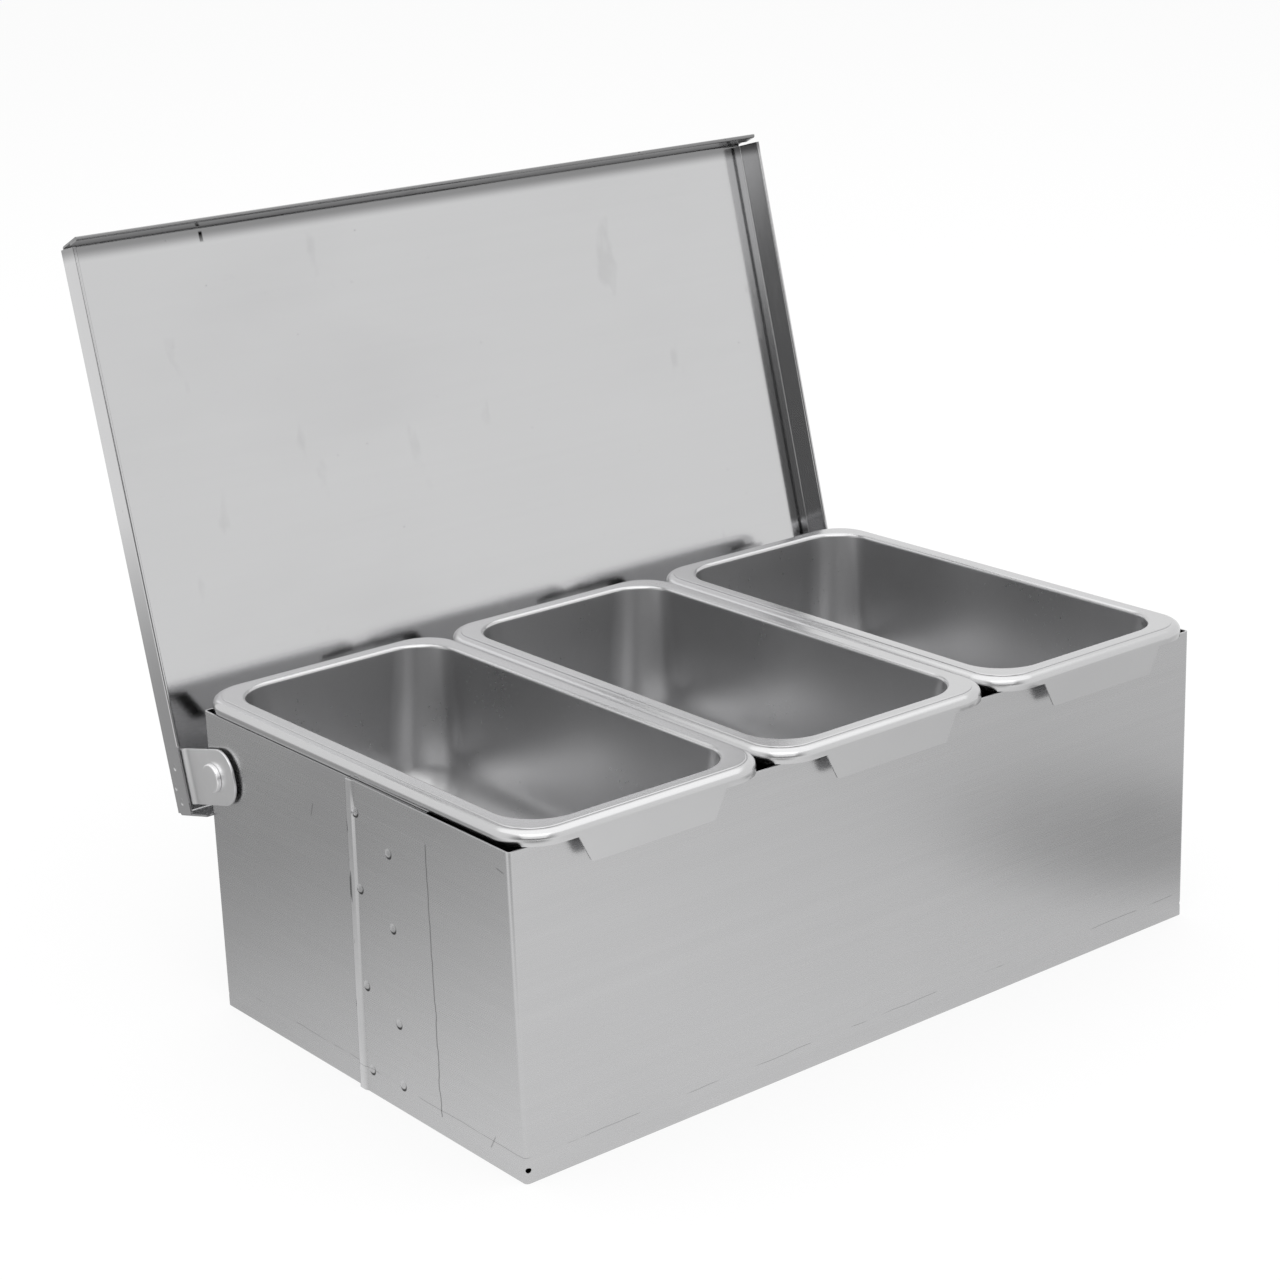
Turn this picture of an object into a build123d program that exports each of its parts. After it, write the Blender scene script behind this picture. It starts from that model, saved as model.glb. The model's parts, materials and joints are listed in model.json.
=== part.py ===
from build123d import *
from math import cos, radians, sin, tan
import os

# Bar garnish tray: a folded sheet box, three lift-out pans and a hinged lid, all in millimetres.
# The origin is the middle of the underside. X runs along the length, the back is at +Y, +Z is up.
# The lid is drawn closed and then swung open about its rivets, which is how the tray stands.

# Box
box_length = 328.0
box_depth = 192.0
wall_height = 119.5
box_sheet = 0.8
fold_radius = 0.8
lap_gap = 0.1
lap_inner_end_y = -48.0
seam_y_bottom = 2.6
seam_y_top = -0.8
seam_lip_width = 4.6
seam_lip_ramp = 1.4
seam_lip_lift = 0.6
corner_bow = 0.8
relief_radius = 1.2
relief_height = 5.0

# Spot welds, on the lapped wall and on the lid's side flanges
weld_radius = 1.6
weld_depth = 0.25
front_column_y = -24.8
front_column_heights = [98.1, 70.2, 34.1, 10.3]
seam_column_y = -5.4
seam_column_heights = [107.9, 79.2, 42.2, 9.4]
lid_weld_drops = [6.1, 3.4, 6.2]
lid_weld_rises = [19.4, 11.6, 5.9]
lid_weld_radius = 1.2

# Base plate, a shallow tray inside the walls
base_sheet = 0.8
base_fit = 0.1
base_flange_height = 9.0
base_bend = 1.0
base_corner_notch = 3.0

# Pans
pan_gap = 0.5
rim_side_inset = 0.45
rim_front_overhang = 5.2
rim_back_overhang = 6.0
rim_seat_gap = 0.3
skirt_height = 5.2
pan_sheet = 0.7
rim_corner = 17.0
rim_bend = 2.4
bead_inset = 3.4
bead_rise = 0.4
bead_edge = 0.3
rim_width = 7.3
opening_bend = 1.6
body_corner_top = 17.4
body_corner_bottom = 24.0
body_draft_inset = 6.0
floor_bend = 12.0
floor_seat_gap = 0.3
tab_drop = 10.0
tab_top_width = 63.0
tab_bottom_width = 53.0
tab_corner = 0.8

# Lid
lid_sheet = 0.8
lid_side_clearance = 3.2
lid_over_rim = 2.1
lid_rear_clearance = 1.4
lid_front_overhang = 12.7
lid_flange_depth = 12.5
lid_bend = 1.2
lid_inner_bend = 0.4
lid_hem = 6.0
lid_corner_gap = 1.2
side_flare_angle = 4.7
front_flare_angle = 11.5
open_angle = 103.86

# Hinge
pivot_from_back = 7.4
pivot_drop = 32.5
stop_gap = 0.3
plate_sheet = 1.0
plate_wall_gap = 1.2
plate_half_width = 10.8
plate_reach = 14.5
plate_corner = 9.5
plate_start = 1.6
plate_joggle_start_share = 23 / 65
plate_joggle_end_share = 31 / 65
plate_flange_gap = 0.1
hem_bracket_gap = 1.2
shank_radius = 3.0
running_fit = 0.06
wall_fit = 0.05
head_radius = 5.5
head_height = 1.7
head_edge = 0.6
head_gap = 0.1
shoulder_radius = 4.8
tail_radius = 4.2
tail_height = 1.2
tail_edge = 0.5

# Overrun of every cutting solid past what it cuts
overrun = 5.0

# Places worked out from the sizes above
half_length = box_length / 2
half_depth = box_depth / 2
outer_left_x = -half_length - lap_gap - box_sheet
skirt_bottom = wall_height + rim_seat_gap
rim_top = skirt_bottom + skirt_height
flange_top = rim_top - bead_rise
pan_count = 3
pan_width = (box_length - 2 * rim_side_inset - (pan_count - 1) * pan_gap) / pan_count
pan_pitch = pan_width + pan_gap
pan_length = box_depth + rim_front_overhang + rim_back_overhang
pan_middle_y = (rim_back_overhang - rim_front_overhang) / 2
rim_front_y = -half_depth - rim_front_overhang
rim_back_y = half_depth + rim_back_overhang
body_inset = rim_width + opening_bend
pan_bottom = base_sheet + floor_seat_gap
lid_half_length = half_length + lid_side_clearance
lid_top = rim_top + lid_over_rim + lid_sheet
lid_rear_y = rim_back_y + lid_rear_clearance + lid_sheet
lid_depth = lid_rear_y - rim_front_y + lid_front_overhang
pivot_y = half_depth - pivot_from_back
pivot_height = lid_top - pivot_drop
pivot_rise = lid_rear_y - pivot_y
lean = radians(open_angle - 90)
stop_reach = pivot_from_back + stop_gap + pivot_rise * sin(lean)
rear_flange_depth = pivot_drop - stop_reach / cos(lean)
plate_inner_x = half_length + plate_wall_gap
plate_outer_x = plate_inner_x + plate_sheet
plate_joggle_start = pivot_drop * plate_joggle_start_share
plate_joggle_end = pivot_drop * plate_joggle_end_share
bracket_top_rise = pivot_rise + plate_half_width + hem_bracket_gap
pivot_axis = Axis((0, pivot_y, pivot_height), (1, 0, 0))


def wrap_outline(height, seam_y, bow):
    """Plan of the folded wall sheet at one height, from the hidden lap end round to the seam."""
    outer_x = outer_left_x
    inner_x = outer_left_x + box_sheet
    lip_start = seam_y - seam_lip_width
    lip_full = lip_start + seam_lip_ramp
    sharp = 0
    outside = fold_radius + box_sheet
    corners = [
        ((-half_length, lap_inner_end_y), sharp),
        ((-half_length, half_depth), outside),
        ((half_length, half_depth), outside),
        ((half_length, -half_depth), outside),
        ((outer_x - bow, -half_depth), outside),
        ((outer_x, lip_start), sharp),
        ((outer_x - seam_lip_lift, lip_full), sharp),
        ((outer_x - seam_lip_lift, seam_y), sharp),
        ((inner_x - seam_lip_lift, seam_y), sharp),
        ((inner_x - seam_lip_lift, lip_full), sharp),
        ((inner_x, lip_start), sharp),
        ((inner_x - bow, -half_depth + box_sheet), fold_radius),
        ((half_length - box_sheet, -half_depth + box_sheet), fold_radius),
        ((half_length - box_sheet, half_depth - box_sheet), fold_radius),
        ((-half_length + box_sheet, half_depth - box_sheet), fold_radius),
        ((-half_length + box_sheet, lap_inner_end_y), sharp),
    ]
    points = [point for point, radius in corners]
    radii = [radius for point, radius in corners]
    return Pos(0, 0, height) * make_face(FilletPolyline(*points, radius=radii, close=True))


def wall_x(y, z):
    """Outer face of the lapped left wall, which leans out towards the front top corner."""
    share = (seam_y_top - seam_lip_width - y) / (seam_y_top - seam_lip_width + half_depth)
    return outer_left_x - corner_bow * max(share, 0) * z / wall_height


def dimple(radius, depth):
    """Shallow ball cap that a spot weld leaves, with its face at the local origin, cutting +X.
    The ball is turned so that its seam lies away from the cut."""
    ball = (radius**2 + depth**2) / (2 * depth)
    return Pos(depth - ball, 0, 0) * Rot(0, 0, 180) * Sphere(ball)


def body_wrap():
    bottom = wrap_outline(0, seam_y_bottom, 0)
    top = wrap_outline(wall_height, seam_y_top, corner_bow)
    wall = loft([bottom, top], ruled=True)
    for y, heights in ((front_column_y, front_column_heights), (seam_column_y, seam_column_heights)):
        for z in heights:
            wall -= Pos(wall_x(y, z), y, z) * dimple(weld_radius, weld_depth)
    hole = Cylinder(shank_radius, box_length + 2 * overrun, rotation=(0, 90, 0))
    wall -= Pos(0, pivot_y, pivot_height) * hole
    relief = Cylinder(relief_radius, 2 * overrun)
    for side in (-1, 1):
        for end in (-1, 1):
            turned = Rot(0, 0, 45 * side * end) * Rot(0, 90, 0) * relief
            wall -= Pos(side * half_length, end * half_depth, relief_height) * turned
    return wall


def base_plate():
    length = box_length - 2 * (box_sheet + base_fit)
    depth = box_depth - 2 * (box_sheet + base_fit)
    upright = (Align.CENTER, Align.CENTER, Align.MIN)
    tray = Box(length, depth, base_flange_height, align=upright)
    tray = fillet(tray.edges().group_by(Axis.Z)[0], base_bend)
    inside = Box(length - 2 * base_sheet, depth - 2 * base_sheet, base_flange_height, align=upright)
    tray -= Pos(0, 0, base_sheet) * inside
    notch = Box(2 * base_corner_notch, 2 * base_corner_notch, 2 * base_flange_height + overrun)
    for side in (-1, 1):
        for end in (-1, 1):
            tray -= Pos(side * length / 2, end * depth / 2, 0) * notch
    return tray


def rim_plan(inset, height):
    """Rounded plan of the pan's rim, drawn in from its outer edge."""
    plan = RectangleRounded(pan_width - 2 * inset, pan_length - 2 * inset, rim_corner - inset)
    return Pos(0, 0, height) * plan


def body_plan(inset, corner, height):
    """Rounded plan of the pan's drawn body, whose corners widen towards the floor."""
    return Pos(0, 0, height) * RectangleRounded(pan_width - 2 * inset, pan_length - 2 * inset, corner)


def drawn_body(top, bottom, wall):
    """Tapered body between two heights, grown outward by the wall thickness."""
    upper = body_plan(body_inset - wall, body_corner_top + wall, top)
    lower = body_plan(body_inset + body_draft_inset - wall, body_corner_bottom + wall, bottom)
    body = loft([lower, upper], ruled=True)
    return fillet(body.edges().group_by(Axis.Z)[0], floor_bend + wall)


def pan_tab():
    """Trapezoid grip that hangs from the skirt, drawn at the rim's front edge."""
    top = tab_top_width / 2
    bottom = tab_bottom_width / 2
    points = [(-top, 0), (-bottom, -tab_drop), (bottom, -tab_drop), (top, 0), (top, pan_sheet), (-top, pan_sheet)]
    radii = [0, tab_corner, tab_corner, 0, 0, 0]
    face = make_face(FilletPolyline(*points, radius=radii, close=True))
    return extrude(Plane.XZ * face, pan_sheet, dir=(0, 1, 0))


def pan():
    flange = extrude(rim_plan(0, skirt_bottom), flange_top - skirt_bottom)
    flange = fillet(flange.edges().group_by(Axis.Z)[-1], rim_bend)
    hollow = extrude(rim_plan(pan_sheet, skirt_bottom), flange_top - pan_sheet - skirt_bottom)
    hollow = fillet(hollow.edges().group_by(Axis.Z)[-1], rim_bend - pan_sheet)
    bead = extrude(rim_plan(bead_inset, flange_top - pan_sheet), bead_rise + pan_sheet)
    bead = fillet(bead.edges().group_by(Axis.Z)[-1], bead_edge)
    shell = flange + bead - hollow
    shell += drawn_body(flange_top, pan_bottom, pan_sheet)
    shell -= drawn_body(rim_top, pan_bottom + pan_sheet, 0)
    opening = shell.faces().sort_by(Axis.Z)[-1].inner_wires()[0]
    shell = fillet(opening.edges(), opening_bend)
    for end in (-1, 1):
        turn = 0 if end < 0 else 180
        tab = Pos(0, end * pan_length / 2, skirt_bottom) * Rot(0, 0, turn) * pan_tab()
        shell += tab
    return Pos(0, pan_middle_y, 0) * shell


def flange_section(depth, angle, hem):
    """Cross-section of a lid edge: X points out of the fold, Y up from the lid's top face."""
    flare = tan(radians(angle))
    apron = lid_bend + lid_inner_bend + lid_sheet
    points = [(-apron, 0), (0, 0), (flare * depth, -depth)]
    radii = [0, lid_bend, 0]
    if hem > 0:
        rounding = lid_sheet - lid_inner_bend / 2
        points += [
            (flare * depth - 2 * lid_sheet, -depth),
            (flare * (depth - hem) - 2 * lid_sheet, hem - depth),
            (flare * (depth - hem) - lid_sheet, hem - depth),
        ]
        radii[-1] = rounding
        radii += [rounding, 0, 0]
    else:
        points.append((flare * depth - lid_sheet, -depth))
        radii.append(0)
    points += [(flare * lid_sheet - lid_sheet, -lid_sheet), (-apron, -lid_sheet)]
    radii += [lid_inner_bend, 0]
    return make_face(FilletPolyline(*points, radius=radii, close=True))


def lid_strip(section, start, outward, along, length):
    """Run a section along a fold line of the closed lid."""
    place = Plane(origin=start, x_dir=outward, z_dir=along)
    return extrude(place * section, length, dir=along)


def lid_closed():
    front_y = lid_rear_y - lid_depth
    flat_inset = lid_bend
    flat_length = 2 * (lid_half_length - flat_inset)
    flat_depth = lid_depth - 2 * flat_inset
    sheet = Box(flat_length, flat_depth, lid_sheet, align=(Align.CENTER, Align.CENTER, Align.MAX))
    lid = Pos(0, lid_rear_y - lid_depth / 2, lid_top) * sheet
    across = 2 * (lid_half_length - lid_corner_gap)
    front = flange_section(lid_flange_depth, front_flare_angle, lid_hem)
    rear = flange_section(rear_flange_depth, 0, 0)
    right_start = (lid_half_length - lid_corner_gap, front_y, lid_top)
    left_start = (lid_corner_gap - lid_half_length, lid_rear_y, lid_top)
    lid += lid_strip(front, right_start, (0, -1, 0), (-1, 0, 0), across)
    lid += lid_strip(rear, left_start, (0, 1, 0), (1, 0, 0), across)
    plain = flange_section(lid_flange_depth, side_flare_angle, 0)
    hemmed = flange_section(lid_flange_depth, side_flare_angle, lid_hem)
    hem_start_y = lid_rear_y - bracket_top_rise
    front_end_y = front_y + lid_corner_gap
    rear_end_y = lid_rear_y - lid_corner_gap
    for side in (-1, 1):
        x = side * lid_half_length
        ends = ((plain, hem_start_y, rear_end_y), (hemmed, front_end_y, hem_start_y))
        for section, low_y, high_y in ends:
            start_y = low_y if side < 0 else high_y
            lid += lid_strip(section, (x, start_y, lid_top), (side, 0, 0), (0, -side, 0), high_y - low_y)
        for drop, rise in zip(lid_weld_drops, lid_weld_rises):
            outer_x = lid_half_length + tan(radians(side_flare_angle)) * drop
            cap = Rot(0, 0, 0 if side < 0 else 180) * dimple(lid_weld_radius, weld_depth)
            lid -= Pos(side * outer_x, lid_rear_y - rise, lid_top - drop) * cap
    return lid


def bracket_closed():
    """Left hinge bracket: a tab welded inside the lid flange joggles in to a round-ended plate."""
    flare = tan(radians(side_flare_angle))
    tab_gap = lid_sheet + plate_flange_gap
    flat = lid_half_length - plate_outer_x
    end = pivot_drop + plate_reach
    outside = [
        (flare * plate_start - tab_gap, -plate_start),
        (flare * plate_joggle_start - tab_gap, -plate_joggle_start),
        (-flat, -plate_joggle_end),
        (-flat, -end),
    ]
    inside = [(x - plate_sheet, y) for x, y in reversed(outside)]
    section = make_face(Polyline(*outside, *inside, close=True))
    low_y = pivot_y - plate_half_width
    start = (-lid_half_length, low_y, lid_top)
    blank = lid_strip(section, start, (-1, 0, 0), (0, 1, 0), 2 * plate_half_width)
    high_y = pivot_y + plate_half_width
    low_z = pivot_height - plate_reach
    corners = [(low_y, lid_top), (low_y, low_z), (high_y, low_z), (high_y, lid_top)]
    edge = FilletPolyline(*corners, radius=[0, plate_corner, plate_corner, 0], close=True)
    outline = extrude(Plane.YZ * make_face(edge), lid_half_length + overrun, dir=(-1, 0, 0))
    hole = Cylinder(shank_radius + running_fit, 2 * (lid_half_length + overrun), rotation=(0, 90, 0))
    return (blank & outline) - Pos(0, pivot_y, pivot_height) * hole


def rivet():
    """Left rivet turned about the pivot: head, shank, shoulder on the wall, and tail inside."""
    head_face = -plate_outer_x - head_gap
    shoulder_face = -plate_inner_x + head_gap
    wall_inner = -half_length + box_sheet
    wall_shank = shank_radius - wall_fit
    points = [
        (head_face - head_height, 0),
        (head_face - head_height, head_radius),
        (head_face, head_radius),
        (head_face, shank_radius),
        (shoulder_face, shank_radius),
        (shoulder_face, shoulder_radius),
        (-half_length, shoulder_radius),
        (-half_length, wall_shank),
        (wall_inner, wall_shank),
        (wall_inner, tail_radius),
        (wall_inner + tail_height, tail_radius),
        (wall_inner + tail_height, 0),
    ]
    radii = [0, head_edge, 0, 0, 0, 0, 0, 0, 0, 0, tail_edge, 0]
    profile = make_face(FilletPolyline(*points, radius=radii, close=True))
    return Pos(0, pivot_y, pivot_height) * revolve(profile, Axis.X)


def swung_open(closed):
    return closed.rotate(pivot_axis, -open_angle)


def build_parts():
    one_pan = pan()
    left_bracket = swung_open(bracket_closed())
    left_rivet = rivet()
    return {
        "body_wrap": body_wrap(),
        "base_plate": base_plate(),
        "lid_tray": swung_open(lid_closed()),
        "hinge_bracket_left": left_bracket,
        "hinge_bracket_right": mirror(left_bracket, Plane.YZ),
        "hinge_rivet_left": left_rivet,
        "hinge_rivet_right": mirror(left_rivet, Plane.YZ),
        "pan_left": Pos(-pan_pitch, 0, 0) * one_pan,
        "pan_middle": one_pan,
        "pan_right": Pos(pan_pitch, 0, 0) * one_pan,
    }


os.makedirs("parts", exist_ok=True)
for name, shape in build_parts().items():
    export_step(shape, f"parts/{name}.step")
    print(name, round(shape.volume), "mm3")
print("rear flange", round(rear_flange_depth, 2), "lid top", round(lid_top, 2), "pan width", round(pan_width, 2))
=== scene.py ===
import json
import math

import bmesh
import bpy
from mathutils import Matrix, Vector


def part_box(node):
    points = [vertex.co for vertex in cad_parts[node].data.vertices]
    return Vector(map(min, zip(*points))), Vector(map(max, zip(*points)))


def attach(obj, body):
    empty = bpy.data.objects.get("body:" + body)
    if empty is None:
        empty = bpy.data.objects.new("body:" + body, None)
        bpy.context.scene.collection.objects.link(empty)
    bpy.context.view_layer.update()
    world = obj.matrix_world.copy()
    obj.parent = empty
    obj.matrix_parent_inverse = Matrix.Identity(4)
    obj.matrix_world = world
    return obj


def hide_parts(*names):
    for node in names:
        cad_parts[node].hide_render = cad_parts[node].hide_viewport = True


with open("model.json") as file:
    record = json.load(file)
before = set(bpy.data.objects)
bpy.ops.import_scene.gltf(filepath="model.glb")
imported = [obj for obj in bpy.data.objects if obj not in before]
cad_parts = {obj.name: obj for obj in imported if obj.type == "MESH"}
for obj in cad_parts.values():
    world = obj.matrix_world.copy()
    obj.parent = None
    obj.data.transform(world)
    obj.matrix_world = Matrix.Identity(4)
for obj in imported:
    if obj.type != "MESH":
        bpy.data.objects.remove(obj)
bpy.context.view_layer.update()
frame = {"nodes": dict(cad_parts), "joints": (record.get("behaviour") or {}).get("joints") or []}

mm = 0.001
near = 0.001 * mm     # two points closer than this count as one
crispAngle = 34.0     # degrees between two faces, past which their edge isn't shaded smooth
hinge = next(joint for joint in frame["joints"] if joint["name"] == "lid_hinge")
hingePoint = Vector(hinge["pos_m"])
print("frame loaded:", len(frame["nodes"]), "nodes, hinge at", tuple(round(v, 4) for v in hingePoint))


# Helpers for meshes

def addObject(name, bm):
    # a new object in the scene, with the bmesh as its mesh
    mesh = bpy.data.meshes.new(name)
    bm.to_mesh(mesh)
    bm.free()
    thing = bpy.data.objects.new(name, mesh)
    bpy.context.scene.collection.objects.link(thing)
    return thing


def finishPiece(bm, name, body, node, materials, crispFrom=crispAngle, thickness=0.0):
    # turns a bmesh into a piece that rides on its body and stands for its CAD node
    for face in bm.faces:
        face.smooth = True
    for edge in bm.edges:
        if len(edge.link_faces) == 2:
            edge.smooth = edge.calc_face_angle(0.0) < math.radians(crispFrom)
    piece = addObject(name, bm)
    for material in materials:
        piece.data.materials.append(material)
    if thickness > 0:
        thicken(piece, thickness)
    normals = piece.modifiers.new("evenNormals", "WEIGHTED_NORMAL")
    normals.keep_sharp = True
    normals.weight = 80
    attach(piece, body)
    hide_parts(node)


def cutAway(bm, cutter, thickness, edgeWidth):
    # gives the sheet its thickness and soft edges and takes the cutter's volume out of it
    solid = addObject("solid", bm)
    tool = addObject("cutter", cutter)
    thicken(solid, thickness)
    rounding = solid.modifiers.new("edgeRounding", "BEVEL")
    rounding.width = edgeWidth
    rounding.segments = 2
    rounding.limit_method = "ANGLE"
    rounding.angle_limit = math.radians(crispAngle)
    cut = solid.modifiers.new("cut", "BOOLEAN")
    cut.operation = "DIFFERENCE"
    cut.solver = "EXACT"
    cut.object = tool
    bpy.context.view_layer.update()
    result = bpy.data.meshes.new_from_object(solid.evaluated_get(bpy.context.evaluated_depsgraph_get()))
    fresh = bmesh.new()
    fresh.from_mesh(result)
    for thing in (solid, tool):
        mesh = thing.data
        bpy.data.objects.remove(thing)
        bpy.data.meshes.remove(mesh)
    bpy.data.meshes.remove(result)
    return fresh


def thicken(thing, thickness):
    # the faces are the sheet's outer side, so the metal grows against their normals
    sheet = thing.modifiers.new("sheet", "SOLIDIFY")
    sheet.thickness = thickness
    sheet.offset = -1
    sheet.use_even_offset = True
    sheet.use_quality_normals = True


def turnsBetween(first, last, steps):
    # evenly spaced angles from the first to the last
    return [first + (last - first) * i / steps for i in range(steps + 1)]


def addRod(bm, centre, axis, radius, length, segments=48):
    made = bmesh.ops.create_cone(bm, cap_ends=True, segments=segments, radius1=radius, radius2=radius,
                                 depth=length)
    turn = Vector((0, 0, 1)).rotation_difference(Vector(axis)).to_matrix()
    bmesh.ops.rotate(bm, verts=made["verts"], cent=(0, 0, 0), matrix=turn)
    bmesh.ops.translate(bm, verts=made["verts"], vec=centre)


def addDent(bm, point, outward, radius, depth, capSteps=7, turnSteps=40):
    # a lens that leaves a shallow round cap in a face: point lies on the face
    ball = (radius ** 2 + depth ** 2) / (2 * depth)
    reach = math.asin(radius / ball)
    outward = Vector(outward)
    point = Vector(point)
    sideways = Vector((0, 1, 0))
    centre = point + outward * (ball - depth)
    profile = [centre - outward * ball * math.cos(turn) + sideways * ball * math.sin(turn)
               for turn in turnsBetween(0, reach, capSteps)]
    profile += [profile[-1] + outward * radius, point + outward * radius]
    spinProfile(bm, profile, point, outward, turnSteps)


def spinProfile(bm, profile, centre, axis, steps):
    # a full turn of an open line of points whose two ends lie on the axis
    verts = [bm.verts.new(spot) for spot in profile]
    edges = [bm.edges.new(pair) for pair in zip(verts, verts[1:])]
    bmesh.ops.spin(bm, geom=verts + edges, cent=centre, axis=axis, angle=2 * math.pi, steps=steps,
                   use_merge=True)
    bmesh.ops.remove_doubles(bm, verts=list(bm.verts), dist=near)
    bmesh.ops.recalc_face_normals(bm, faces=list(bm.faces))


def addRectangle(bm, centre, halfX, halfY):
    made = bmesh.ops.create_grid(bm, x_segments=1, y_segments=1, size=1.0)
    bmesh.ops.scale(bm, vec=(halfX, halfY, 1), verts=made["verts"])
    bmesh.ops.translate(bm, vec=centre, verts=made["verts"])
    return made["verts"]


def roundOff(bm, geom, affect, radius, segments):
    bmesh.ops.bevel(bm, geom=geom, affect=affect, offset=radius, offset_type="OFFSET",
                    segments=segments, profile=0.5, material=-1)


def faceWay(bm, known, way):
    # evens the normals out, so that those of a face that is known point one way
    bmesh.ops.recalc_face_normals(bm, faces=list(bm.faces))
    if known.normal.dot(Vector(way)) < 0:
        bmesh.ops.reverse_faces(bm, faces=list(bm.faces))


def extrudeEdges(bm, edges):
    # doubles free edges in place, and gives the new vertices and the new free edges
    grown = bmesh.ops.extrude_edge_only(bm, edges=edges)["geom"]
    verts = [item for item in grown if isinstance(item, bmesh.types.BMVert)]
    kept = set(verts)
    newEdges = [item for item in grown if isinstance(item, bmesh.types.BMEdge) and set(item.verts) <= kept]
    return verts, newEdges


def growStrip(bm, edges, step):
    # pulls a row of free edges out by one step
    verts, newEdges = extrudeEdges(bm, edges)
    bmesh.ops.translate(bm, verts=verts, vec=step)
    return newEdges


def growRing(bm, ring, centre, halfX, halfY, before, after):
    # the next ring of a drawn shape: each rounded corner is scaled about its own centre and moved
    def cornerCentre(inset, z, corner):
        return Vector((centre.x + sideX * (halfX - inset - corner),
                       centre.y + sideY * (halfY - inset - corner), z))

    verts, newEdges = extrudeEdges(bm, ring)
    share = after[-1] / before[-1]
    for sideX in (-1, 1):
        for sideY in (-1, 1):
            quarter = [v for v in verts
                       if (v.co.x - centre.x) * sideX > 0 and (v.co.y - centre.y) * sideY > 0]
            spot = cornerCentre(*before)
            bmesh.ops.scale(bm, vec=(share, share, 1), space=Matrix.Translation(-spot), verts=quarter)
            bmesh.ops.translate(bm, vec=cornerCentre(*after) - spot, verts=quarter)
    return newEdges


def edgesWhere(bm, test):
    return [edge for edge in bm.edges if all(test(vert.co) for vert in edge.verts)]


def splitAcross(bm, geom, point, normal):
    bmesh.ops.bisect_plane(bm, geom=geom, dist=near, plane_co=point, plane_no=normal)


# Helpers for materials

def newGroup(name, inputs, outputs):
    group = bpy.data.node_groups.new(name, "ShaderNodeTree")
    for label, kind, value in inputs:
        socket = group.interface.new_socket(label, in_out="INPUT", socket_type=kind)
        if value is not None:
            socket.default_value = value
    for label in outputs:
        group.interface.new_socket(label, in_out="OUTPUT", socket_type="NodeSocketFloat")
    return group, group.nodes.new("NodeGroupInput"), group.nodes.new("NodeGroupOutput")


def newWearAndShade(name):
    # a group for the wear marks and painted shade of one piece, which steelMaterial adds to the sheet's own
    # pattern
    return newGroup(name, [("Place", "NodeSocketVector", None)], ["Tone", "Rough", "Height"])


def placeGroup(tree, group, place):
    node = tree.nodes.new("ShaderNodeGroup")
    node.node_tree = group
    tree.links.new(place, node.inputs["Place"])
    return node


def feed(tree, socket, value):
    # another node's output is linked, and a number, a colour or a direction is set
    if isinstance(value, bpy.types.NodeSocket):
        tree.links.new(value, socket)
    else:
        socket.default_value = value


def mathNode(tree, operation, *values):
    node = tree.nodes.new("ShaderNodeMath")
    node.operation = operation
    for socket, value in zip(node.inputs, values):
        feed(tree, socket, value)
    return node.outputs[0]


def subtract(tree, first, second):
    return mathNode(tree, "SUBTRACT", first, second)


def addUp(tree, values):
    total = values[0]
    for value in values[1:]:
        total = mathNode(tree, "ADD", total, value)
    return total


def multiply(tree, *values):
    total = values[0]
    for value in values[1:]:
        total = mathNode(tree, "MULTIPLY", total, value)
    return total


def mapRange(tree, value, low, high, fromLow=0.0, fromHigh=1.0, easing="LINEAR"):
    node = tree.nodes.new("ShaderNodeMapRange")
    node.interpolation_type = easing
    node.inputs["From Min"].default_value = fromLow
    node.inputs["From Max"].default_value = fromHigh
    node.inputs["To Min"].default_value = low
    node.inputs["To Max"].default_value = high
    tree.links.new(value, node.inputs["Value"])
    return node.outputs["Result"]


def swing(tree, pattern, reach):
    # a pattern of 0 to 1, made a change to either side of nothing
    return mapRange(tree, pattern, -reach, reach)


def rampUp(tree, value, start, full):
    # 0 up to the start and 1 from the full value on
    return mapRange(tree, value, 0.0, 1.0, start, full)


def fadeBand(tree, value, halfWidth, blur):
    # 1 on a line, falling to 0 beyond its half width
    return mapRange(tree, mathNode(tree, "ABSOLUTE", value), 1.0, 0.0, halfWidth, halfWidth + blur)


def vectorNode(tree, operation, first, *second):
    node = tree.nodes.new("ShaderNodeVectorMath")
    node.operation = operation
    for socket, value in zip(node.inputs, (first, *second)):
        feed(tree, socket, value)
    return node


def dotWith(tree, place, direction):
    return vectorNode(tree, "DOT_PRODUCT", place, direction).outputs["Value"]


def roundPatch(tree, place, centre, inner, outer, easing="LINEAR"):
    # 1 inside the inner radius, falling to 0 at the outer one
    distance = vectorNode(tree, "DISTANCE", place, centre).outputs["Value"]
    return mapRange(tree, distance, 1.0, 0.0, inner, outer, easing)


def splitPlace(tree, place):
    split = tree.nodes.new("ShaderNodeSeparateXYZ")
    tree.links.new(place, split.inputs[0])
    return split.outputs["X"], split.outputs["Y"], split.outputs["Z"]


def noise(tree, place, scale, detail, roughness=0.5, distortion=0.0):
    node = tree.nodes.new("ShaderNodeTexNoise")
    tree.links.new(place, node.inputs["Vector"])
    feed(tree, node.inputs["Scale"], scale)
    node.inputs["Detail"].default_value = detail
    node.inputs["Roughness"].default_value = roughness
    node.inputs["Distortion"].default_value = distortion
    return node.outputs["Fac"]


def noiseAlong(tree, place, grain, detail):
    # noise with its own fineness along each axis, and even along an axis with 0
    return noise(tree, vectorNode(tree, "MULTIPLY", place, grain).outputs["Vector"], 1.0, detail)


def wander(tree, place, grain, detail, reach):
    # how far a line strays to either side of its course
    return multiply(tree, subtract(tree, noiseAlong(tree, place, grain, detail), 0.5), reach)


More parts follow.
